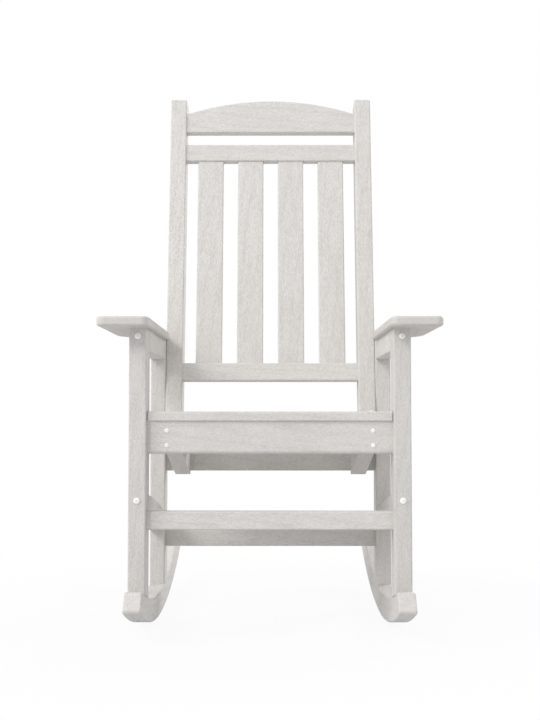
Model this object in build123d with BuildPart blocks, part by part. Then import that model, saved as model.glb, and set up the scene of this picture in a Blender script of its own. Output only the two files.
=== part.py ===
# Porch rocking chair of plastic lumber: two side frames on curved rockers, a slatted
# seat that dips towards the back, and a reclined back of upright slats under an arched
# headrest. Millimetres, +Z up, the sitter faces -Y, and the floor is Z = 0.
# Right means +X. The chair is symmetric about X = 0, so left pieces are mirrored ones.
import os
from math import asin, atan2, cos, radians, sin, sqrt

from build123d import *

os.makedirs("parts", exist_ok=True)

# Stock sizes
leg_t = 33.0  # rockers, legs, arm rails, braces and seat rails, across the chair
leg_d = 56.0  # legs, front to back
board_t = 20.0  # apron, stretchers and rear seat rail
edge_r = 3.0  # rounding along the edges of the boards

# Side frames
inner_w = 465.0  # clear width between the side frames
leg_gap = 296.0  # clear distance from a front leg to the rear leg behind it
arm_z = 585.0  # underside of the arms
arm_rail_h = 41.0
brace_h = 44.0
brace_front_z = 269.0  # top edge of the side brace where it meets the front leg
brace_bend_z = 244.2
brace_rear_z = 210.5
brace_bend_r = 1300.0

# Rockers: the sole is tighter ahead of its lowest point than behind it, and the deck is
# an arc of its own, so the tail is deeper than the nose. At rest the chair's weight
# stands over the lowest point of the soles.
rocker_len = 830.4  # overall, over the rounded nose
rocker_h = 48.0
sole_front_r = 990.0
sole_rear_r = 1330.0
deck_r = 1040.0
sole_low = 353.0  # lowest point of the sole, behind the nose's sharp corner
deck_low = 352.0  # lowest point of the deck, behind the same corner
nose_reach = 70.0  # the same corner ahead of the front legs
nose_cut = 28.0  # how far the nose's top edge stands back from its bottom edge
tail_cut = 36.0
nose_r = 7.0  # rounding of the nose's corners
tail_r = 24.0  # rounding of the tail's top corner

# Arms
arm_t = 18.0
arm_w = 87.5  # outside the legs' inner faces
arm_tail_w = 55.0
arm_lip = 10.0  # inside the legs' inner faces, ahead of the back posts
arm_lip_end = 40.0  # from the end of that lip to the posts
arm_front = 55.0  # ahead of the front legs
arm_rear = 17.0  # behind the rear legs
arm_taper_y = 212.0  # where the outer edge turns in, behind the front legs' faces
arm_taper_len = 66.0
arm_corner_r = 14.0
arm_bend_r = 60.0
arm_edge_r = 5.0

# Apron and stretchers
apron_h = 63.0
apron_inset = 15.0  # behind the front legs' faces
apron_edge_r = 7.0
front_stretcher_z = 205.0
front_stretcher_h = 35.0
front_stretcher_inset = 18.0
rear_stretcher_z = 131.0
rear_stretcher_h = 60.0
rear_stretcher_inset = 16.0

# Seat
seat_z = 411.0  # top of the apron, under the front slat
seat_nose = 5.0  # front slat ahead of the apron
seat_slat_w = 48.0
seat_slat_t = 17.0
seat_slat_gap = 6.0
seat_slat_r = 4.0
seat_side_gap = 1.5
seat_pitches = (0.0, 3.0, 6.0, 8.0, 8.0, 8.0)  # degrees down to the back, front slat first
seat_rail_gap = 21.0  # from a side frame to the seat rail beside it
seat_rail_bend_y = 155.0  # bend of its lower edge, behind the front legs' faces
seat_rail_rear_z = 289.0
seat_rail_bend_r = 180.0
rear_seat_rail_z = 297.0
rear_seat_rail_h = 50.0
rear_seat_rail_inset = 24.0  # behind the rear legs' faces

# Back
recline = 8.0  # degrees
post_t = 37.0
post_d = 56.0
post_rise = 34.0  # posts above the headrest's ends
post_gap = 10.0  # from the last seat slat to the posts
back_rail_t = 22.0
back_rail_inset = 4.0
back_rail_h = 40.0
lower_rail_v = 120.0  # along the posts from their feet
upper_rail_v = 636.0
headrest_gap = 30.0  # from the upper rail to the headrest
headrest_end_h = 46.0
headrest_rise = 32.0
back_slat_w = 59.0
back_slat_t = 15.0
back_slat_side_gap = 28.0  # from a post to the slat beside it
back_slats = 4
tenon = 10.0

# Hardware
bolt_head_r = 6.0
bolt_head_h = 4.0
bolt_r = 3.0
bolt_grip = 20.0  # length of a bolt in the second piece
screw_head_r = 4.0
screw_head_h = 2.0
screw_r = 2.0
screw_grip = 18.0
sink = 6.0  # depth of the counterbores that hide a head
fit = 0.3  # clearance round a shank, a head or a tenon
leg_bolt_drop = 15.0  # upper leg bolts below the arms
brace_bolt_z = 261.0
brace_rear_bolt_z = 190.0
apron_screw_z = 364.0
apron_screw_pitch = 28.0
seat_screw_pitch = 26.0
seat_screw_grip = 14.0  # short of the apron's screws below
rocker_screw_pitch = 26.0
arm_screw_pitch = 190.0
arm_screw_sink = 16.0
arm_screw_bite = 12.0
post_bolt_v = 52.0
post_bolt_pitch = 110.0
post_bolt_back = 26.0  # behind the posts' front faces


def sole_rise(behind):
    reach = behind - sole_low
    radius = sole_front_r if reach < 0 else sole_rear_r
    return radius - sqrt(radius**2 - reach**2)


def deck_rise(behind):
    return rocker_h + deck_r - sqrt(deck_r**2 - (behind - deck_low) ** 2)


# How far rounding takes the nose back from the sharp corner of its sole and its face
sole_tilt = asin(sole_low / sole_front_r)
nose_tilt = atan2(nose_cut, deck_rise(nose_cut) - sole_rise(0))
nose_round = nose_r * ((sin(sole_tilt) + cos(nose_tilt)) / (1 + sin(sole_tilt - nose_tilt)) - 1)

# Places that follow from the sizes
x_in = inner_w / 2
x_out = x_in + leg_t
x_leg = (x_in + x_out) / 2
nose_y = -rocker_len / 2 - nose_round
tail_y = rocker_len / 2
front_y = nose_y + nose_reach
front_back_y = front_y + leg_d
rear_y = front_back_y + leg_gap
rear_back_y = rear_y + leg_d
apron_y = front_y + apron_inset
slat_step = seat_slat_w + seat_slat_gap
rail_end_y = rear_y + rear_seat_rail_inset
seat_rail_x = x_in - seat_rail_gap - leg_t / 2
post_x = x_in - post_t / 2
back_half = x_in - post_t
headrest_v = upper_rail_v + back_rail_h + headrest_gap
post_len = headrest_v + headrest_end_h + post_rise
back_slat_pitch = (2 * (back_half - back_slat_side_gap) - back_slat_w) / (back_slats - 1)


def sole_z(y):
    return sole_rise(y - nose_y)


def deck_z(y):
    return deck_rise(y - nose_y)


# The seat rails' top edge is a chain of flats, one under each slat, then one for the post
seat_chain = [(apron_y - seat_nose - seat_slat_gap / 2, seat_z)]
for pitch in seat_pitches:
    y, z = seat_chain[-1]
    seat_chain.append((y + slat_step * cos(radians(pitch)), z - slat_step * sin(radians(pitch))))
lean = radians(recline)
chain_y, chain_z = seat_chain[-1]
foot = (0, chain_y + post_gap * cos(lean), chain_z - post_gap * sin(lean))
rail_end_z = chain_z - (rail_end_y - chain_y) * sin(lean) / cos(lean)
back = Plane(origin=foot, x_dir=(1, 0, 0), z_dir=(0, -cos(lean), sin(lean)))
upright = Axis(back.origin, back.y_dir)


def on_plane(plane, x, y, z_dir):
    return Plane(origin=plane.origin + plane.x_dir * x + plane.y_dir * y, z_dir=z_dir)


def on_both_sides(planes):
    twins = []
    for plane in planes:
        spot, way = plane.origin, plane.z_dir
        twins.append(Plane(origin=(-spot.X, spot.Y, spot.Z), z_dir=(-way.X, way.Y, way.Z)))
    return planes + twins


# Where the fasteners sit: planes on the boards' faces, facing out, for the right-hand side
front_bolts = [
    Plane(origin=(x_leg, front_y, z), z_dir=(0, -1, 0)) for z in (brace_bolt_z, arm_z - leg_bolt_drop)
]
rear_bolts = [
    Plane(origin=(x_leg, rear_back_y, z), z_dir=(0, 1, 0))
    for z in (brace_rear_bolt_z, arm_z - leg_bolt_drop)
]
apron_screws = [
    Plane(origin=(seat_rail_x, apron_y, apron_screw_z + step), z_dir=(0, -1, 0))
    for step in (0, apron_screw_pitch)
]
rear_rail_mid_z = rear_seat_rail_z + rear_seat_rail_h / 2
rear_rail_screws = [
    Plane(origin=(seat_rail_x, rail_end_y + board_t, rear_rail_mid_z + step), z_dir=(0, 1, 0))
    for step in (-apron_screw_pitch / 2, apron_screw_pitch / 2)
]
seat_planes = []
seat_screws = []
for pitch, (y, z) in zip(seat_pitches, seat_chain):
    normal = (0, sin(radians(pitch)), cos(radians(pitch)))
    flat = Plane(origin=(0, y, z), x_dir=(1, 0, 0), z_dir=normal)
    seat_planes.append(flat)
    # The front slat has no front pair, because the apron is under its front half
    steps = (-seat_screw_pitch / 2, seat_screw_pitch / 2) if pitch else (seat_screw_pitch / 2,)
    slat_top = flat.offset(seat_slat_t)
    seat_screws.append([on_plane(slat_top, seat_rail_x, slat_step / 2 + step, normal) for step in steps])
front_side_bolts = [
    Plane(origin=(x_out, y + board_t / 2, z), z_dir=(1, 0, 0))
    for y, z in (
        (apron_y, seat_z - apron_h / 2),
        (front_y + front_stretcher_inset, front_stretcher_z + front_stretcher_h / 2),
    )
]
rear_side_bolts = [
    Plane(origin=(x_out, y + board_t / 2, z), z_dir=(1, 0, 0))
    for y, z in (
        (rail_end_y, rear_rail_mid_z),
        (rear_y + rear_stretcher_inset, rear_stretcher_z + rear_stretcher_h / 2),
    )
]
post_mid = back.offset(-post_bolt_back)
post_bolts = [on_plane(post_mid, x_out, post_bolt_v + step, (1, 0, 0)) for step in (0, post_bolt_pitch)]
rail_mid = back.offset(-back_rail_inset - back_rail_t / 2)
post_screws = [
    on_plane(rail_mid, x_in, v, (1, 0, 0))
    for v in (
        lower_rail_v + back_rail_h / 2,
        upper_rail_v + back_rail_h / 2,
        headrest_v + headrest_end_h / 2,
    )
]
arm_screws = [
    Plane(origin=(x_leg, front_back_y + leg_gap / 2 + step, arm_z - arm_rail_h), z_dir=(0, 0, -1))
    for step in (-arm_screw_pitch / 2, arm_screw_pitch / 2)
]
rocker_screws = [
    Plane(origin=(x_leg, y + leg_d / 2 + step, sole_z(y + leg_d / 2 + step)), z_dir=(0, 0, -1))
    for y in (front_y, rear_y)
    for step in (-rocker_screw_pitch / 2, rocker_screw_pitch / 2)
]

# Side frames, made on the right
with BuildPart() as right_rocker:
    with BuildSketch(Plane.YZ.offset(x_in)) as rocker_side:
        with BuildLine():
            nose = (nose_y, sole_z(nose_y))
            low = (nose_y + sole_low, 0)
            tail = (tail_y, sole_z(tail_y))
            nose_top = (nose_y + nose_cut, deck_z(nose_y + nose_cut))
            tail_top = (tail_y - tail_cut, deck_z(tail_y - tail_cut))
            for ends in ((nose, low), (low, tail)):
                half_y = (ends[0][0] + ends[1][0]) / 2
                ThreePointArc(ends[0], (half_y, sole_z(half_y)), ends[1])
            Line(tail, tail_top)
            ThreePointArc(tail_top, (nose_y + deck_low, rocker_h), nose_top)
            Line(nose_top, nose)
        make_face()
        fillet(rocker_side.vertices().sort_by(Axis.X)[:2], nose_r)
        fillet(rocker_side.vertices().sort_by(Axis.Y)[-1], tail_r)
    extrude(amount=leg_t)
    fillet(right_rocker.edges().filter_by(Axis.X, reverse=True), edge_r)
    # The counterbores start below the curved sole, so that they cut it all round
    with Locations(*[plane.offset(screw_head_r) for plane in rocker_screws]):
        CounterBoreHole(screw_r + fit, screw_head_r + fit, sink + screw_head_r, depth=rocker_h * 2)


def leg(y):
    with BuildPart() as blank:
        with BuildSketch(Plane.YZ.offset(x_in)):
            with BuildLine():
                mid = y + leg_d / 2
                Polyline((y, deck_z(y)), (y, arm_z), (y + leg_d, arm_z), (y + leg_d, deck_z(y + leg_d)))
                ThreePointArc((y + leg_d, deck_z(y + leg_d)), (mid, deck_z(mid)), (y, deck_z(y)))
            make_face()
        extrude(amount=leg_t)
        fillet(blank.edges().filter_by(Axis.Z), edge_r)
        with Locations(*[plane.offset(-sink) for plane in rocker_screws]):
            Hole(screw_r + fit, depth=rocker_h + screw_grip)
    return blank.part


with BuildPart() as right_front_leg:
    add(leg(front_y))
    with Locations(*front_bolts):
        Hole(bolt_r + fit, depth=leg_d)
    with Locations(*front_side_bolts):
        CounterBoreHole(bolt_r + fit, bolt_head_r + fit, sink, depth=leg_t)

with BuildPart() as right_rear_leg:
    add(leg(rear_y))
    with Locations(*rear_bolts):
        Hole(bolt_r + fit, depth=leg_d)
    with Locations(*rear_side_bolts, *post_bolts):
        CounterBoreHole(bolt_r + fit, bolt_head_r + fit, sink, depth=leg_t)

with BuildPart() as right_arm_rail:
    with BuildSketch(Plane.YZ.offset(x_in)):
        with Locations((front_back_y + leg_gap / 2, arm_z - arm_rail_h / 2)):
            Rectangle(leg_gap, arm_rail_h)
    extrude(amount=leg_t)
    fillet(right_arm_rail.faces().sort_by(Axis.Z)[0].edges().filter_by(Axis.Y), edge_r)
    with Locations(*front_bolts[1:], *rear_bolts[1:]):
        Hole(bolt_r + fit, depth=leg_d + bolt_grip)
    with Locations(*arm_screws):
        CounterBoreHole(screw_r + fit, screw_head_r + fit, arm_screw_sink, depth=arm_rail_h)

# The side brace slopes down to the rear leg with a slight bend
with BuildPart() as right_side_brace:
    with BuildSketch(Plane.YZ.offset(x_in)):
        with BuildLine():
            brace_mid_y = front_back_y + leg_gap / 2
            upper = [(front_back_y, brace_front_z), (brace_mid_y, brace_bend_z), (rear_y, brace_rear_z)]
            lower = [(y, z - brace_h) for y, z in upper]
            bends = [0, brace_bend_r, 0, 0, brace_bend_r, 0]
            FilletPolyline(*upper, *reversed(lower), radius=bends, close=True)
        make_face()
    extrude(amount=leg_t)
    fillet(right_side_brace.edges().filter_by(Plane.YZ).filter_by(Axis.Z, reverse=True), edge_r)
    with Locations(*front_bolts[:1], *rear_bolts[:1]):
        Hole(bolt_r + fit, depth=leg_d + bolt_grip)

with BuildPart() as right_arm:
    with BuildSketch(Plane.XY.offset(arm_z)):
        with BuildLine():
            taper_y = front_y + arm_taper_y
            lip_y = foot[1] + (arm_z - foot[2]) * sin(lean) / cos(lean) - arm_lip_end
            FilletPolyline(
                (x_in - arm_lip, front_y - arm_front),
                (x_in + arm_w, front_y - arm_front),
                (x_in + arm_w, taper_y),
                (x_in + arm_tail_w, taper_y + arm_taper_len),
                (x_in + arm_tail_w, rear_back_y + arm_rear),
                (x_in, rear_back_y + arm_rear),
                (x_in, lip_y + arm_lip),
                (x_in - arm_lip, lip_y - arm_lip),
                radius=[arm_corner_r] * 2 + [arm_bend_r] * 2 + [arm_corner_r] * 2 + [arm_lip] * 2,
                close=True,
            )
        make_face()
    extrude(amount=arm_t)
    fillet(right_arm.edges().group_by(Axis.Z)[0] + right_arm.edges().group_by(Axis.Z)[-1], arm_edge_r)
    with Locations(*[plane.offset(-arm_rail_h) for plane in arm_screws]):
        Hole(screw_r + fit, depth=arm_screw_bite)

# Boards across the chair, housed between the side frames
with BuildPart() as seat_apron:
    with BuildSketch(Plane.XY.offset(seat_z)):
        with Locations((0, apron_y + board_t / 2)):
            Rectangle(inner_w, board_t)
    extrude(amount=-apron_h)
    apron_edges = seat_apron.faces().sort_by(Axis.Y)[0].edges().filter_by(Axis.X).sort_by(Axis.Z)
    fillet(apron_edges[0], apron_edge_r)
    with Locations(*on_both_sides(apron_screws)):
        Hole(screw_r + fit, depth=board_t)
    with Locations(*on_both_sides(front_side_bolts)):
        Hole(bolt_r + fit, depth=leg_t + bolt_grip)

with BuildPart() as front_stretcher:
    with BuildSketch(Plane.XY.offset(front_stretcher_z)):
        with Locations((0, front_y + front_stretcher_inset + board_t / 2)):
            Rectangle(inner_w, board_t)
    extrude(amount=front_stretcher_h)
    fillet(front_stretcher.edges().filter_by(Axis.X), edge_r)
    with Locations(*on_both_sides(front_side_bolts)):
        Hole(bolt_r + fit, depth=leg_t + bolt_grip)

with BuildPart() as rear_stretcher:
    with BuildSketch(Plane.XY.offset(rear_stretcher_z)):
        with Locations((0, rear_y + rear_stretcher_inset + board_t / 2)):
            Rectangle(inner_w, board_t)
    extrude(amount=rear_stretcher_h)
    fillet(rear_stretcher.edges().filter_by(Axis.X), edge_r)
    with Locations(*on_both_sides(rear_side_bolts)):
        Hole(bolt_r + fit, depth=leg_t + bolt_grip)

with BuildPart() as rear_seat_rail:
    with BuildSketch(Plane.XY.offset(rear_seat_rail_z)):
        with Locations((0, rail_end_y + board_t / 2)):
            Rectangle(inner_w, board_t)
    extrude(amount=rear_seat_rail_h)
    fillet(rear_seat_rail.faces().sort_by(Axis.Y)[-1].edges().filter_by(Axis.X), edge_r)
    with Locations(*on_both_sides(rear_side_bolts)):
        Hole(bolt_r + fit, depth=leg_t + bolt_grip)
    with Locations(*on_both_sides(rear_rail_screws)):
        Hole(screw_r + fit, depth=board_t)

# Seat rail: flats along the top for the slats and the post, a bent lower edge
with BuildPart() as right_seat_rail:
    with BuildSketch(Plane.YZ.offset(seat_rail_x - leg_t / 2)) as rail_side:
        with BuildLine():
            rail_front_y = apron_y + board_t
            bend_y = front_y + seat_rail_bend_y
            Polyline(
                (rail_front_y, seat_z),
                *seat_chain[1:],
                (rail_end_y, rail_end_z),
                (rail_end_y, seat_rail_rear_z),
                (bend_y, seat_z - apron_h),
                (rail_front_y, seat_z - apron_h),
                close=True,
            )
        make_face()
        bends = [v for v in rail_side.vertices() if abs(v.X - bend_y) < fit and v.Y < seat_z - fit]
        fillet(bends, seat_rail_bend_r)
    extrude(amount=leg_t)
    with Locations(*apron_screws):
        Hole(screw_r + fit, depth=board_t + screw_grip)
    with Locations(*rear_rail_screws):
        Hole(screw_r + fit, depth=board_t + screw_grip)
    with Locations(*sum(seat_screws, [])):
        Hole(screw_r + fit, depth=seat_slat_t + seat_screw_grip)

seat_slats = []
for flat, screws in zip(seat_planes, seat_screws):
    with BuildPart() as seat_slat:
        with BuildSketch(flat):
            with Locations((0, slat_step / 2)):
                Rectangle(inner_w - 2 * seat_side_gap, seat_slat_w)
        extrude(amount=seat_slat_t)
        fillet(seat_slat.edges().filter_by(Axis.X).sort_by(Axis.Z)[2:], seat_slat_r)
        with Locations(*on_both_sides(screws)):
            Hole(screw_r + fit, depth=seat_slat_t)
    seat_slats.append(seat_slat)

# Back: posts that stand on the seat rails against the rear legs, with boards between them
with BuildPart() as right_back_post:
    with BuildSketch(back.offset(-post_d)):
        with Locations((post_x, post_len / 2)):
            Rectangle(post_t, post_len)
    extrude(amount=post_d)
    fillet(right_back_post.edges().filter_by(upright), edge_r)
    fillet(right_back_post.faces().sort_by(upright)[-1].edges(), edge_r)
    with Locations(*post_bolts):
        Hole(bolt_r + fit, depth=leg_t + bolt_grip)
    with Locations(*post_screws):
        CounterBoreHole(screw_r + fit, screw_head_r + fit, sink, depth=post_t)

board_back = back.offset(-back_rail_inset - back_rail_t)
slat_back = board_back.offset((back_rail_t - back_slat_t) / 2)
slat_foot_v = lower_rail_v + back_rail_h - tenon
slat_head_v = upper_rail_v + tenon - fit
slat_spots = [((n - (back_slats - 1) / 2) * back_slat_pitch, 0) for n in range(back_slats)]


def back_rail(v, socket_v):
    with BuildPart() as blank:
        with BuildSketch(board_back):
            with Locations((0, v + back_rail_h / 2)):
                Rectangle(2 * back_half, back_rail_h)
        extrude(amount=back_rail_t)
        fillet(blank.edges().filter_by(Axis.X), edge_r)
        # Sockets for the slats' ends
        with BuildSketch(slat_back.offset(-fit)):
            with Locations(*[(x, socket_v + tenon / 2) for x, _ in slat_spots]):
                Rectangle(back_slat_w + 2 * fit, tenon)
        extrude(amount=back_slat_t + 2 * fit, mode=Mode.SUBTRACT)
        with Locations(*on_both_sides(post_screws)):
            Hole(screw_r + fit, depth=post_t + screw_grip)
    return blank.part


with BuildPart() as lower_back_rail:
    add(back_rail(lower_rail_v, slat_foot_v))

with BuildPart() as upper_back_rail:
    add(back_rail(upper_rail_v, upper_rail_v))

with BuildPart() as headrest:
    with BuildSketch(board_back):
        with BuildLine():
            end_v = headrest_v + headrest_end_h
            Polyline(
                (-back_half, end_v),
                (-back_half, headrest_v),
                (back_half, headrest_v),
                (back_half, end_v),
            )
            ThreePointArc((back_half, end_v), (0, end_v + headrest_rise), (-back_half, end_v))
        make_face()
    extrude(amount=back_rail_t)
    fillet(headrest.edges().filter_by(Axis.X) + headrest.edges().filter_by(GeomType.CIRCLE), edge_r)
    with Locations(*on_both_sides(post_screws[2:])):
        Hole(screw_r + fit, depth=post_t + screw_grip)

back_slat_parts = []
for x, _ in slat_spots:
    with BuildPart() as back_slat:
        with BuildSketch(slat_back):
            with Locations((x, (slat_foot_v + slat_head_v) / 2)):
                Rectangle(back_slat_w, slat_head_v - slat_foot_v)
        extrude(amount=back_slat_t)
        fillet(back_slat.edges().filter_by(upright), edge_r)
    back_slat_parts.append(back_slat)


# Fasteners: a low dome on a plain shank, head up, shank down from Z = 0
def fastener(head_r, head_h, shank_r, length):
    rim = head_h / 3
    dome = head_h - rim
    dome_r = (head_r**2 + dome**2) / (2 * dome)
    half = asin(head_r / dome_r) / 2
    shoulder = (dome_r * sin(half), head_h - dome_r * (1 - cos(half)))
    with BuildPart() as blank:
        with BuildSketch(Plane.XZ):
            with BuildLine():
                Polyline(
                    (0, head_h),
                    (0, -length),
                    (shank_r, -length),
                    (shank_r, 0),
                    (head_r, 0),
                    (head_r, rim),
                )
                ThreePointArc((head_r, rim), shoulder, (0, head_h))
            make_face()
        revolve(axis=Axis.Z)
    return blank.part


leg_bolt = fastener(bolt_head_r, bolt_head_h, bolt_r, leg_d + bolt_grip - fit)
side_bolt = fastener(bolt_head_r, bolt_head_h, bolt_r, leg_t - sink + bolt_grip - fit)
board_screw = fastener(screw_head_r, screw_head_h, screw_r, board_t + screw_grip - fit)
slat_screw = fastener(screw_head_r, screw_head_h, screw_r, seat_slat_t + seat_screw_grip - fit)
post_screw = fastener(screw_head_r, screw_head_h, screw_r, post_t - sink + screw_grip - fit)
arm_screw = fastener(screw_head_r, screw_head_h, screw_r, arm_rail_h - arm_screw_sink + arm_screw_bite - fit)
rocker_screw = fastener(screw_head_r, screw_head_h, screw_r, rocker_h - sink + screw_grip - fit)

with BuildPart() as leg_bolts:
    with Locations(*on_both_sides(front_bolts + rear_bolts)):
        add(leg_bolt)

with BuildPart() as cross_bolts:
    with Locations(*on_both_sides([p.offset(-sink) for p in front_side_bolts + rear_side_bolts])):
        add(side_bolt)

with BuildPart() as back_bolts:
    with Locations(*on_both_sides([p.offset(-sink) for p in post_bolts])):
        add(side_bolt)

with BuildPart() as apron_screw_set:
    with Locations(*on_both_sides(apron_screws)):
        add(board_screw)

with BuildPart() as rear_rail_screw_set:
    with Locations(*on_both_sides(rear_rail_screws)):
        add(board_screw)

with BuildPart() as seat_slat_screws:
    with Locations(*on_both_sides(sum(seat_screws, []))):
        add(slat_screw)

with BuildPart() as back_rail_screws:
    with Locations(*on_both_sides([p.offset(-sink) for p in post_screws])):
        add(post_screw)

with BuildPart() as arm_screw_set:
    with Locations(*on_both_sides([p.offset(-arm_screw_sink) for p in arm_screws])):
        add(arm_screw)

with BuildPart() as rocker_screw_set:
    with Locations(*on_both_sides([p.offset(-sink) for p in rocker_screws])):
        add(rocker_screw)

# Every piece under its own name, with the mirrored twins of the right-hand ones
pieces = {
    "seat_apron": seat_apron,
    "front_stretcher": front_stretcher,
    "rear_stretcher": rear_stretcher,
    "rear_seat_rail": rear_seat_rail,
    "lower_back_rail": lower_back_rail,
    "upper_back_rail": upper_back_rail,
    "headrest": headrest,
    "leg_bolts": leg_bolts,
    "cross_bolts": cross_bolts,
    "back_bolts": back_bolts,
    "apron_screws": apron_screw_set,
    "rear_rail_screws": rear_rail_screw_set,
    "seat_slat_screws": seat_slat_screws,
    "back_rail_screws": back_rail_screws,
    "arm_screws": arm_screw_set,
    "rocker_screws": rocker_screw_set,
}
for index, seat_slat in enumerate(seat_slats, start=1):
    pieces[f"seat_slat_{index}"] = seat_slat
for index, back_slat in enumerate(back_slat_parts, start=1):
    pieces[f"back_slat_{index}"] = back_slat
right_pieces = {
    "rocker": right_rocker,
    "front_leg": right_front_leg,
    "rear_leg": right_rear_leg,
    "arm_rail": right_arm_rail,
    "side_brace": right_side_brace,
    "arm": right_arm,
    "seat_rail": right_seat_rail,
    "back_post": right_back_post,
}
for name, piece in right_pieces.items():
    pieces[f"right_{name}"] = piece
    with BuildPart() as twin:
        mirror(piece.part, about=Plane.YZ)
    pieces[f"left_{name}"] = twin
for name, piece in pieces.items():
    piece.part.label = name
    export_step(piece.part, f"parts/{name}.step")
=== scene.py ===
# Porch rocking chair of pale grey plastic lumber, dressed over its packed boards.
# Metres, +Z up, the sitter faces -Y, the floor is Z = 0 and the left side is -X.
from math import cos, pi, radians, sin

import bmesh
import bpy
import numpy as np
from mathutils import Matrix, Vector


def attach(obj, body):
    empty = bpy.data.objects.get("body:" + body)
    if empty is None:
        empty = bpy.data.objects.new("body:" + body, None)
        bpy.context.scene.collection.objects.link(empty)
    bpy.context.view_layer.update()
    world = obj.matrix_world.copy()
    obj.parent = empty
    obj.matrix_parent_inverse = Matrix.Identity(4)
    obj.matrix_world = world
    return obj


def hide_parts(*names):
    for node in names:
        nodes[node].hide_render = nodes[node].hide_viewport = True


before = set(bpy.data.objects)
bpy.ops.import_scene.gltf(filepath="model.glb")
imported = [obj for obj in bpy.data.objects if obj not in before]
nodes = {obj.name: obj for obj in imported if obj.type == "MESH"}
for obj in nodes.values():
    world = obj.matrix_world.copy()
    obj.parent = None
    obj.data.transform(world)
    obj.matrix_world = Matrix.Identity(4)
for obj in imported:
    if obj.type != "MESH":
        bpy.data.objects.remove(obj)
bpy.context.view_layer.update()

# Camera: level with the seat, straight in front and tilted up a little, as the photograph
# was taken. The lens gives a picture 720 pixels high a focal length of 1050 pixels.
picture_height = 720
focal_length = 1050
camera_place = (0.007, -2.322, 0.425)
camera_tilt = radians(92.89)
camera_turn = radians(0.20)
view = bpy.data.cameras.new("front_view")
view.sensor_fit = "VERTICAL"
view.sensor_height = 24
view.lens = view.sensor_height * focal_length / picture_height
camera = bpy.data.objects.new("front_view", view)
camera.location = camera_place
camera.rotation_euler = (camera_tilt, 0, camera_turn)
bpy.context.scene.collection.objects.link(camera)
bpy.context.scene.camera = camera


# Rockers: two thick boards sawn to a curve, standing on edge under the legs and screwed to
# them from below. They are plastic lumber, pale grey all through, with a speckled wood grain
# and faint figure lines pressed into the faces, and a duller, pitted cut at the ends.
def node_maker(tree):
    def add(kind, **settings):
        made = tree.nodes.new(kind)
        for key, value in settings.items():
            setattr(made, key, value)
        return made

    return add


def bare_tree(owner):
    """Empties the nodes of a material or the world; returns what adds and links new ones."""
    owner.use_nodes = True
    tree = owner.node_tree
    tree.nodes.clear()
    return node_maker(tree), tree.links.new


def fill(node, values):
    for socket, value in values.items():
        node.inputs[socket].default_value = value


def run_tones(ramp, dark, light, dark_at=0.0, light_at=1.0):
    """Lets a colour ramp run from a dark to a light tone of one finish."""
    ends = ramp.color_ramp.elements
    ends[0].position, ends[1].position = dark_at, light_at
    ends[0].color, ends[1].color = (*dark, 1), (*light, 1)


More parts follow.
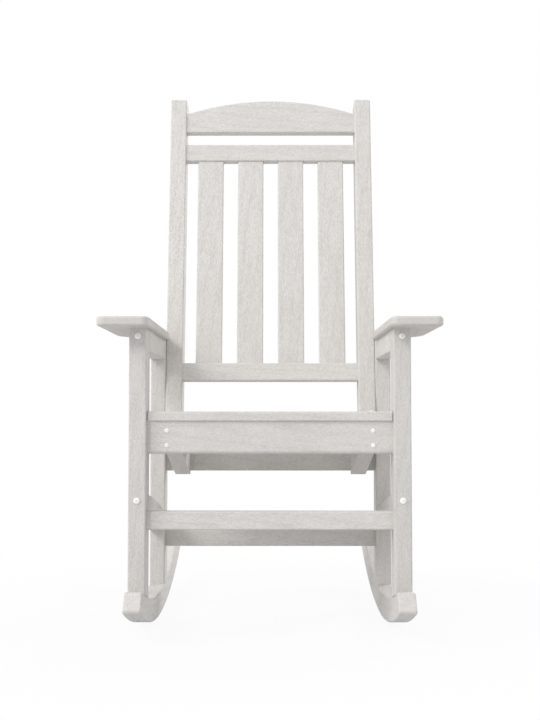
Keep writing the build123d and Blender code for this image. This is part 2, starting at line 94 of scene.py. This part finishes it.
def lumber(name, grain_turn, tone=1.0):
    """Plastic lumber whose grain runs along the axis that grain_turn brings to X."""
    face_dark, face_light = (0.555, 0.534, 0.508), (0.730, 0.714, 0.693)
    cut_dark, cut_light = (0.545, 0.520, 0.498), (0.677, 0.655, 0.633)
    streak_depth, vein_depth, figure_depth, pit_depth = 0.95, 0.25, 0.4, 0.24
    cloud_dark, cloud_light = -0.15, 0.4
    noise_low, noise_high = 0.3, 0.7
    shade_reach = 1.5
    cut_starts, cut_full = 0.88, 0.96
    roughest, smoothest = 0.68, 0.5
    relief_height = 0.0004

    material = bpy.data.materials.new(name)
    add, link = bare_tree(material)
    place = add("ShaderNodeTexCoord")
    along = add("ShaderNodeMapping")
    fill(along, {"Rotation": grain_turn})
    link(place.outputs["Object"], along.inputs["Vector"])

    def drawn_out(squeeze):
        """Places squeezed along the grain, which draws a pattern out along it."""
        mapping = add("ShaderNodeMapping")
        fill(mapping, {"Scale": (squeeze, 1, 1)})
        link(along.outputs["Vector"], mapping.inputs["Vector"])
        return mapping.outputs["Vector"]

    def pattern(squeeze, scale, detail, roughness, wander=0):
        noise = add("ShaderNodeTexNoise")
        fill(noise, {"Scale": scale, "Detail": detail, "Roughness": roughness, "Distortion": wander})
        link(drawn_out(squeeze), noise.inputs["Vector"])
        return noise.outputs["Fac"]

    def level(source, low, high, dark, light):
        ramp = add("ShaderNodeMapRange")
        fill(ramp, {"From Min": low, "From Max": high, "To Min": dark, "To Max": light})
        link(source, ramp.inputs["Value"])
        return ramp.outputs["Result"]

    def math(operation, a, b):
        step = add("ShaderNodeMath", operation=operation)
        for socket, value in zip(step.inputs, (a, b)):
            if isinstance(value, (int, float)):
                socket.default_value = value
            else:
                link(value, socket)
        return step.outputs["Value"]

    def toned(colour):
        return [part * tone for part in colour]

    streaks = pattern(squeeze=0.42, scale=400, detail=3, roughness=0.55)
    veins = pattern(squeeze=0.14, scale=110, detail=3, roughness=0.55, wander=0.9)
    clouds = pattern(squeeze=0.5, scale=22, detail=2, roughness=0.5)
    pits = pattern(squeeze=1, scale=900, detail=3, roughness=0.7)
    figure = add("ShaderNodeTexWave", bands_direction="DIAGONAL")
    fill(figure, {"Scale": 26, "Distortion": 7, "Detail": 2, "Detail Scale": 1.2})
    link(drawn_out(0.12), figure.inputs["Vector"])

    # Saw-cut ends face along the grain
    facing = add("ShaderNodeVectorRotate", rotation_type="EULER_XYZ")
    fill(facing, {"Rotation": grain_turn})
    link(place.outputs["Normal"], facing.inputs["Vector"])
    split = add("ShaderNodeSeparateXYZ")
    link(facing.outputs["Vector"], split.inputs["Vector"])
    slant = math("ABSOLUTE", split.outputs["X"], 0)
    end_cut = level(slant, cut_starts, cut_full, 0, 1)

    streak_level = level(streaks, noise_low, noise_high, -streak_depth, streak_depth)
    vein_level = level(veins, noise_low, noise_high, -vein_depth, vein_depth)
    figure_level = level(figure.outputs["Fac"], 0, noise_low, -figure_depth, 0)
    grain = math("ADD", math("ADD", streak_level, vein_level), figure_level)
    shade = math("ADD", grain, level(clouds, noise_low, noise_high, cloud_dark, cloud_light))
    face_colour = add("ShaderNodeValToRGB")
    run_tones(face_colour, toned(face_dark), toned(face_light))
    link(level(shade, -shade_reach, shade_reach, 0, 1), face_colour.inputs["Fac"])
    cut_colour = add("ShaderNodeValToRGB")
    run_tones(cut_colour, toned(cut_dark), toned(cut_light), dark_at=0.38, light_at=0.55)
    link(pits, cut_colour.inputs["Fac"])
    skin = add("ShaderNodeMix", data_type="RGBA")
    link(end_cut, skin.inputs["Factor"])
    link(face_colour.outputs["Color"], skin.inputs["A"])
    link(cut_colour.outputs["Color"], skin.inputs["B"])

    relief = math("MULTIPLY", grain, math("SUBTRACT", 1, end_cut))
    relief = math("ADD", relief, level(pits, noise_low, noise_high, -pit_depth, pit_depth))
    bump = add("ShaderNodeBump")
    fill(bump, {"Strength": 0.7, "Distance": relief_height})
    link(relief, bump.inputs["Height"])

    shader = add("ShaderNodeBsdfPrincipled")
    fill(shader, {"IOR": 1.5, "Specular IOR Level": 0.35})
    link(skin.outputs["Result"], shader.inputs["Base Color"])
    link(level(grain, -1, 1, roughest, smoothest), shader.inputs["Roughness"])
    link(bump.outputs["Normal"], shader.inputs["Normal"])
    out = add("ShaderNodeOutputMaterial")
    link(shader.outputs["BSDF"], out.inputs["Surface"])
    return material


def paint(material, *names):
    for name in names:
        mesh = nodes[name].data
        mesh.materials.clear()
        mesh.materials.append(material)


lengthwise = (0, 0, radians(-90))
paint(lumber("rocker_lumber", lengthwise, tone=0.98), "left_rocker", "right_rocker")

# Legs: four square posts, sawn to the rockers' curve at the foot and running up to the
# arms, with all four long edges rounded and the grain upright.
upright = (0, radians(90), 0)
paint(lumber("front_leg_lumber", upright, tone=0.94), "left_front_leg", "right_front_leg")
paint(lumber("rear_leg_lumber", upright, tone=0.995), "left_rear_leg", "right_rear_leg")

# Side boards: an arm rail under each arm and a bent brace low down, both held between
# the legs by long bolts through them.
side_lumber = lumber("side_lumber", lengthwise, tone=1.02)
paint(side_lumber, "left_arm_rail", "right_arm_rail", "left_side_brace", "right_side_brace")

# Cross boards: the seat's apron in front, a stretcher between the front legs and one
# between the rear legs, and a rail behind the seat, bolted through the legs.
across = (0, 0, 0)
cross_lumber = lumber("cross_lumber", across)
paint(cross_lumber, "seat_apron", "front_stretcher", "rear_stretcher", "rear_seat_rail")

# Seat: six slats with rounded top edges, screwed down on two rails that dip to the back.
# The rails run from the apron to the rear rail with the grain along them, the slats across.
paint(lumber("seat_rail_lumber", lengthwise, tone=0.98), "left_seat_rail", "right_seat_rail")
seat_slats = [name for name in nodes if name.startswith("seat_slat_") and name[-1].isdigit()]
paint(lumber("seat_lumber", across, tone=0.98), *seat_slats)

# Back: two posts leaning back, four upright slats housed in a lower and an upper rail,
# and an arched headrest between the tops of the posts.
lean = radians(8)
reclined = (lean, radians(90), 0)
paint(lumber("post_lumber", reclined), "left_back_post", "right_back_post")
paint(lumber("back_slat_lumber", reclined), *[f"back_slat_{n}" for n in (1, 2, 3, 4)])
# The lower rail's tone is raised above the other boards: painted light, standing in for the light
# the seat throws up onto it.
paint(lumber("lower_rail_lumber_painted_light", across, tone=1.04), "lower_back_rail")
paint(lumber("upper_rail_lumber", across, tone=0.98), "upper_back_rail", "headrest")

# Arms: flat boards with softly rounded edges, wide in front and narrowed towards the
# back along the outer side, screwed up from the arm rails.
paint(lumber("arm_lumber", lengthwise, tone=0.935), "left_arm", "right_arm")


# Leg bolts: domed heads with a six-sided socket, white coated steel, driven through the
# legs into the ends of the arm rails and braces, two in front and two behind on each side.
def fastener_places(node):
    """Where each fastener of a node sits under its head, which way it faces, and its sizes."""
    weld_reach = 1e-6
    tip_reach = 1e-5
    rim_share = 0.8
    shape = bmesh.new()
    shape.from_mesh(nodes[node].data)
    bmesh.ops.remove_doubles(shape, verts=shape.verts, dist=weld_reach)
    waiting = dict.fromkeys(shape.verts)
    seats, ways = [], []
    while waiting:
        reached = [waiting.popitem()[0]]
        for vert in reached:
            for edge in vert.link_edges:
                other = edge.other_vert(vert)
                if other in waiting:
                    del waiting[other]
                    reached.append(other)
        points = np.array([vert.co for vert in reached])
        middle = points.mean(0)
        axis = np.linalg.svd(points - middle)[2][0]
        height = (points - middle) @ axis
        radius = np.linalg.norm(points - middle - np.outer(height, axis), axis=1)
        rim = radius > rim_share * radius.max()
        if height[rim].mean() < 0:
            axis, height = -axis, -height
        seat = height[rim].min()
        seats.append(middle + axis * seat)
        ways.append(axis)
        tip = height < height.min() + tip_reach
        sizes = (radius.max(), height.max() - seat, radius[tip].max(), seat - height.min())
    shape.free()
    return seats, ways, [float(size) for size in sizes]


def hex_socket(angle, half_width):
    side = (angle % (pi / 3)) - pi / 6
    return half_width / cos(side)


def cross_slot(angle, reach):
    side = abs((angle + pi / 4) % (pi / 2) - pi / 4)
    half_width = reach * 0.32
    return min(reach / cos(side), half_width / max(sin(side), 1e-6))


def driven_head(name, sizes, drive, drive_size, point):
    """A domed head with its drive sunk in it, on a plain shank: head up, seat at Z = 0."""
    head_r, head_h, shank_r, length = sizes
    segments = 36
    band = head_h / 3
    dome = head_h * 2 / 3
    dome_r = (head_r**2 + dome**2) / (2 * dome)
    dome_rings = 6
    dome_outer = head_r * 0.985
    dome_inner = drive_size * 1.25
    soft_rim = head_h * 0.06
    under_r = head_r * 0.96
    tip_cone = shank_r * (1.2 - point)
    lip_share, taper_share = 1.06, 0.92
    lip_drop = head_h * 0.05
    drive_floor = head_h * 0.55
    floor_dip = drive_size * 0.25
    sharp_edge = radians(32)

    def crown(radius):
        return head_h - dome_r + (dome_r**2 - radius**2) ** 0.5

    rings = [
        [(shank_r * point, -length)] * segments,
        [(shank_r, -length + tip_cone)] * segments,
        [(shank_r, 0)] * segments,
        [(under_r, 0)] * segments,
        [(head_r, soft_rim)] * segments,
        [(head_r, band - soft_rim)] * segments,
    ]
    for step in range(dome_rings):
        radius = dome_outer + (dome_inner - dome_outer) * step / (dome_rings - 1)
        rings.append([(radius, crown(radius))] * segments)
    outline = [drive(2 * pi * n / segments, drive_size) for n in range(segments)]
    rings.append([(radius * lip_share, crown(radius * lip_share)) for radius in outline])
    rings.append([(radius, crown(radius) - lip_drop) for radius in outline])
    rings.append([(radius * taper_share, drive_floor) for radius in outline])
    shape = bmesh.new()
    loops = []
    for ring in rings:
        loop = []
        for n, (radius, z) in enumerate(ring):
            angle = 2 * pi * n / segments
            loop.append(shape.verts.new((radius * cos(angle), radius * sin(angle), z)))
        loops.append(loop)
    for low, high in zip(loops, loops[1:]):
        for n in range(segments):
            after = (n + 1) % segments
            shape.faces.new((low[n], low[after], high[after], high[n]))
    shape.faces.new(list(reversed(loops[0])))
    floor_point = shape.verts.new((0, 0, drive_floor - floor_dip))
    for n in range(segments):
        shape.faces.new((loops[-1][n], loops[-1][(n + 1) % segments], floor_point))
    for face in shape.faces:
        face.smooth = True
    for edge in shape.edges:
        edge.smooth = edge.calc_face_angle(0) < sharp_edge
    mesh = bpy.data.meshes.new(name)
    shape.to_mesh(mesh)
    shape.free()
    return bpy.data.objects.new(name, mesh)


def fastener_tree():
    """Sets one fastener on every place, facing its own way and turned at random."""
    tree = bpy.data.node_groups.new("set_fasteners", "GeometryNodeTree")
    for name, kind in (
        ("Places", "NodeSocketGeometry"),
        ("Fastener", "NodeSocketObject"),
        ("Finish", "NodeSocketMaterial"),
        ("Turn Seed", "NodeSocketInt"),
    ):
        tree.interface.new_socket(name, in_out="INPUT", socket_type=kind)
    tree.interface.new_socket("Fasteners", in_out="OUTPUT", socket_type="NodeSocketGeometry")
    add = node_maker(tree)
    link = tree.links.new
    given = add("NodeGroupInput")
    fastener = add("GeometryNodeObjectInfo")
    link(given.outputs["Fastener"], fastener.inputs["Object"])

    # Input 3 and output 1 are the number's own Max and Value
    turn = add("FunctionNodeRandomValue", data_type="FLOAT")
    turn.inputs[3].default_value = 2 * pi
    link(given.outputs["Turn Seed"], turn.inputs["Seed"])
    spin = add("ShaderNodeCombineXYZ")
    link(turn.outputs[1], spin.inputs["Z"])
    spun = add("FunctionNodeEulerToRotation")
    link(spin.outputs["Vector"], spun.inputs["Euler"])
    way = add("GeometryNodeInputNamedAttribute", data_type="FLOAT_VECTOR")
    fill(way, {"Name": "way"})
    facing = add("FunctionNodeAlignRotationToVector", axis="Z")
    link(spun.outputs["Rotation"], facing.inputs["Rotation"])
    link(way.outputs["Attribute"], facing.inputs["Vector"])

    placed = add("GeometryNodeInstanceOnPoints")
    link(given.outputs["Places"], placed.inputs["Points"])
    link(fastener.outputs["Geometry"], placed.inputs["Instance"])
    link(facing.outputs["Rotation"], placed.inputs["Rotation"])
    real = add("GeometryNodeRealizeInstances")
    link(placed.outputs["Instances"], real.inputs["Geometry"])
    coated = add("GeometryNodeSetMaterial")
    link(real.outputs["Geometry"], coated.inputs["Geometry"])
    link(given.outputs["Finish"], coated.inputs["Material"])
    result = add("NodeGroupOutput")
    link(coated.outputs["Geometry"], result.inputs["Fasteners"])
    return tree


def coated_steel(name):
    """White baked coating over steel: a little gloss, a faint orange-peel skin."""
    coat_dark, coat_light = (0.88, 0.88, 0.87), (0.95, 0.95, 0.94)
    material = bpy.data.materials.new(name)
    add, link = bare_tree(material)
    place = add("ShaderNodeTexCoord")
    peel = add("ShaderNodeTexNoise")
    fill(peel, {"Scale": 1400, "Detail": 2})
    link(place.outputs["Object"], peel.inputs["Vector"])
    tint = add("ShaderNodeValToRGB")
    run_tones(tint, coat_dark, coat_light, dark_at=0.3, light_at=0.7)
    link(peel.outputs["Fac"], tint.inputs["Fac"])
    skin = add("ShaderNodeBump")
    fill(skin, {"Strength": 0.25, "Distance": 0.0001})
    link(peel.outputs["Fac"], skin.inputs["Height"])
    shader = add("ShaderNodeBsdfPrincipled")
    fill(shader, {"Roughness": 0.32, "Coat Weight": 0.3, "Coat Roughness": 0.2})
    link(tint.outputs["Color"], shader.inputs["Base Color"])
    link(skin.outputs["Normal"], shader.inputs["Normal"])
    out = add("ShaderNodeOutputMaterial")
    link(shader.outputs["BSDF"], out.inputs["Surface"])
    return material


fastener_setter = fastener_tree()
white_steel = coated_steel("white_coated_steel")


def set_fasteners(node, drive, drive_share, point, seed):
    """Replaces a node of fasteners by detailed ones in the same seats."""
    seats, ways, sizes = fastener_places(node)
    head_r = sizes[0]
    fastener = driven_head(node + "_pattern", sizes, drive, head_r * drive_share, point)
    places = bpy.data.meshes.new(node + "_places")
    places.from_pydata([tuple(seat) for seat in seats], [], [])
    facing = places.attributes.new("way", "FLOAT_VECTOR", "POINT")
    facing.data.foreach_set("vector", np.array(ways, np.float32).ravel())
    holder = bpy.data.objects.new(node + "_places", places)
    bpy.context.scene.collection.objects.link(holder)
    setter = holder.modifiers.new("set_fasteners", "NODES")
    setter.node_group = fastener_setter
    values = {"Fastener": fastener, "Finish": white_steel, "Turn Seed": seed}
    for socket in fastener_setter.interface.items_tree:
        if socket.name in values:
            setter[socket.identifier] = values[socket.name]
    seen = holder.evaluated_get(bpy.context.evaluated_depsgraph_get())
    mesh = bpy.data.meshes.new_from_object(seen)
    mesh.name = node + "_driven"
    piece = bpy.data.objects.new(node + "_driven", mesh)
    bpy.data.objects.remove(holder)
    bpy.data.objects.remove(fastener)
    bpy.context.scene.collection.objects.link(piece)
    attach(piece, "root")
    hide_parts(node)


socket_share = 0.32
blunt_point = 0.8
set_fasteners("leg_bolts", hex_socket, socket_share, blunt_point, seed=1)

# Side bolts: the same bolts, shorter and sunk in counterbores on the outer faces of the
# legs. They hold the cross boards and the feet of the back posts.
set_fasteners("cross_bolts", hex_socket, socket_share, blunt_point, seed=2)
set_fasteners("back_bolts", hex_socket, socket_share, blunt_point, seed=3)

# Screws: small domed heads with a cross slot, in the apron, the rear rail and the seat
# slats on show, and sunk in the posts, the arm rails and the rockers.
slot_share = 0.45
sharp_point = 0.15
for seed, node in enumerate(
    (
        "apron_screws",
        "rear_rail_screws",
        "seat_slat_screws",
        "back_rail_screws",
        "arm_screws",
        "rocker_screws",
    ),
    start=10,
):
    set_fasteners(node, cross_slot, slot_share, sharp_point, seed)


# Floor and light: a pale floor that goes over into a white background. A large soft lamp
# stands far left in front, a smaller one nearer the middle and one behind on the right,
# and even light comes from all round.
def seen_plainly(add, link):
    """1 for rays from the camera, off gloss and through glass, which see plain white."""
    rays = add("ShaderNodeLightPath")
    share = rays.outputs["Is Camera Ray"]
    for kind in ("Is Glossy Ray", "Is Transmission Ray"):
        either = add("ShaderNodeMath", operation="MAXIMUM")
        link(share, either.inputs[0])
        link(rays.outputs[kind], either.inputs[1])
        share = either.outputs["Value"]
    return share


floor_radius = 30
floor_colour = (0.63, 0.63, 0.63, 1)
white = (1, 1, 1, 1)
shadow_near, shadow_far = 0.35, 1.1
white_near = 0.93
floor_mesh = bpy.data.meshes.new("floor")
plate = bmesh.new()
bmesh.ops.create_circle(plate, cap_ends=True, radius=floor_radius, segments=64)
plate.to_mesh(floor_mesh)
plate.free()
floor = bpy.data.objects.new("floor", floor_mesh)
bpy.context.scene.collection.objects.link(floor)
floor_paint = bpy.data.materials.new("floor_paint")
add, link = bare_tree(floor_paint)
matte = add("ShaderNodeBsdfDiffuse")
fill(matte, {"Color": floor_colour})
glow = add("ShaderNodeEmission")
fill(glow, {"Color": white, "Strength": 1.0})
spot = add("ShaderNodeTexCoord")
distance = add("ShaderNodeVectorMath", operation="LENGTH")
link(spot.outputs["Object"], distance.inputs[0])
fade = add("ShaderNodeMapRange", interpolation_type="SMOOTHSTEP")
fill(fade, {"From Min": shadow_near, "From Max": shadow_far, "To Min": white_near, "To Max": 1.0})
link(distance.outputs["Value"], fade.inputs["Value"])
share = add("ShaderNodeMath", operation="MULTIPLY")
link(seen_plainly(add, link), share.inputs[0])
link(fade.outputs["Result"], share.inputs[1])
mix = add("ShaderNodeMixShader")
link(share.outputs["Value"], mix.inputs["Fac"])
link(matte.outputs["BSDF"], mix.inputs[1])
link(glow.outputs["Emission"], mix.inputs[2])
out = add("ShaderNodeOutputMaterial")
link(mix.outputs["Shader"], out.inputs["Surface"])
floor_mesh.materials.append(floor_paint)

world = bpy.data.worlds.new("studio")
bpy.context.scene.world = world
add, link = bare_tree(world)
around = add("ShaderNodeBackground")
fill(around, {"Color": white, "Strength": 0.81})
backdrop = add("ShaderNodeBackground")
fill(backdrop, {"Color": white, "Strength": 1.0})
mix = add("ShaderNodeMixShader")
link(seen_plainly(add, link), mix.inputs["Fac"])
link(around.outputs["Background"], mix.inputs[1])
link(backdrop.outputs["Background"], mix.inputs[2])
out = add("ShaderNodeOutputWorld")
link(mix.outputs["Shader"], out.inputs["Surface"])

lamp_distance = 9
lit_point = Vector((0, -0.1, 0.55))
for name, left_turn, rise, size, power in (
    ("key_lamp", radians(66), radians(34), 4.5, 310),
    ("front_lamp", radians(30), radians(32), 1.8, 168),
    ("rear_lamp", radians(-135), radians(25), 3, 320),
):
    lamp = bpy.data.lights.new(name, "AREA")
    lamp.shape = "DISK"
    lamp.size = size
    lamp.energy = power
    lamp_object = bpy.data.objects.new(name, lamp)
    away = Vector((-sin(left_turn) * cos(rise), -cos(left_turn) * cos(rise), sin(rise)))
    lamp_object.location = lit_point + away * lamp_distance
    lamp_object.rotation_euler = (-away).to_track_quat("-Z", "Y").to_euler()
    bpy.context.scene.collection.objects.link(lamp_object)

bpy.context.scene.view_settings.view_transform = "Standard"
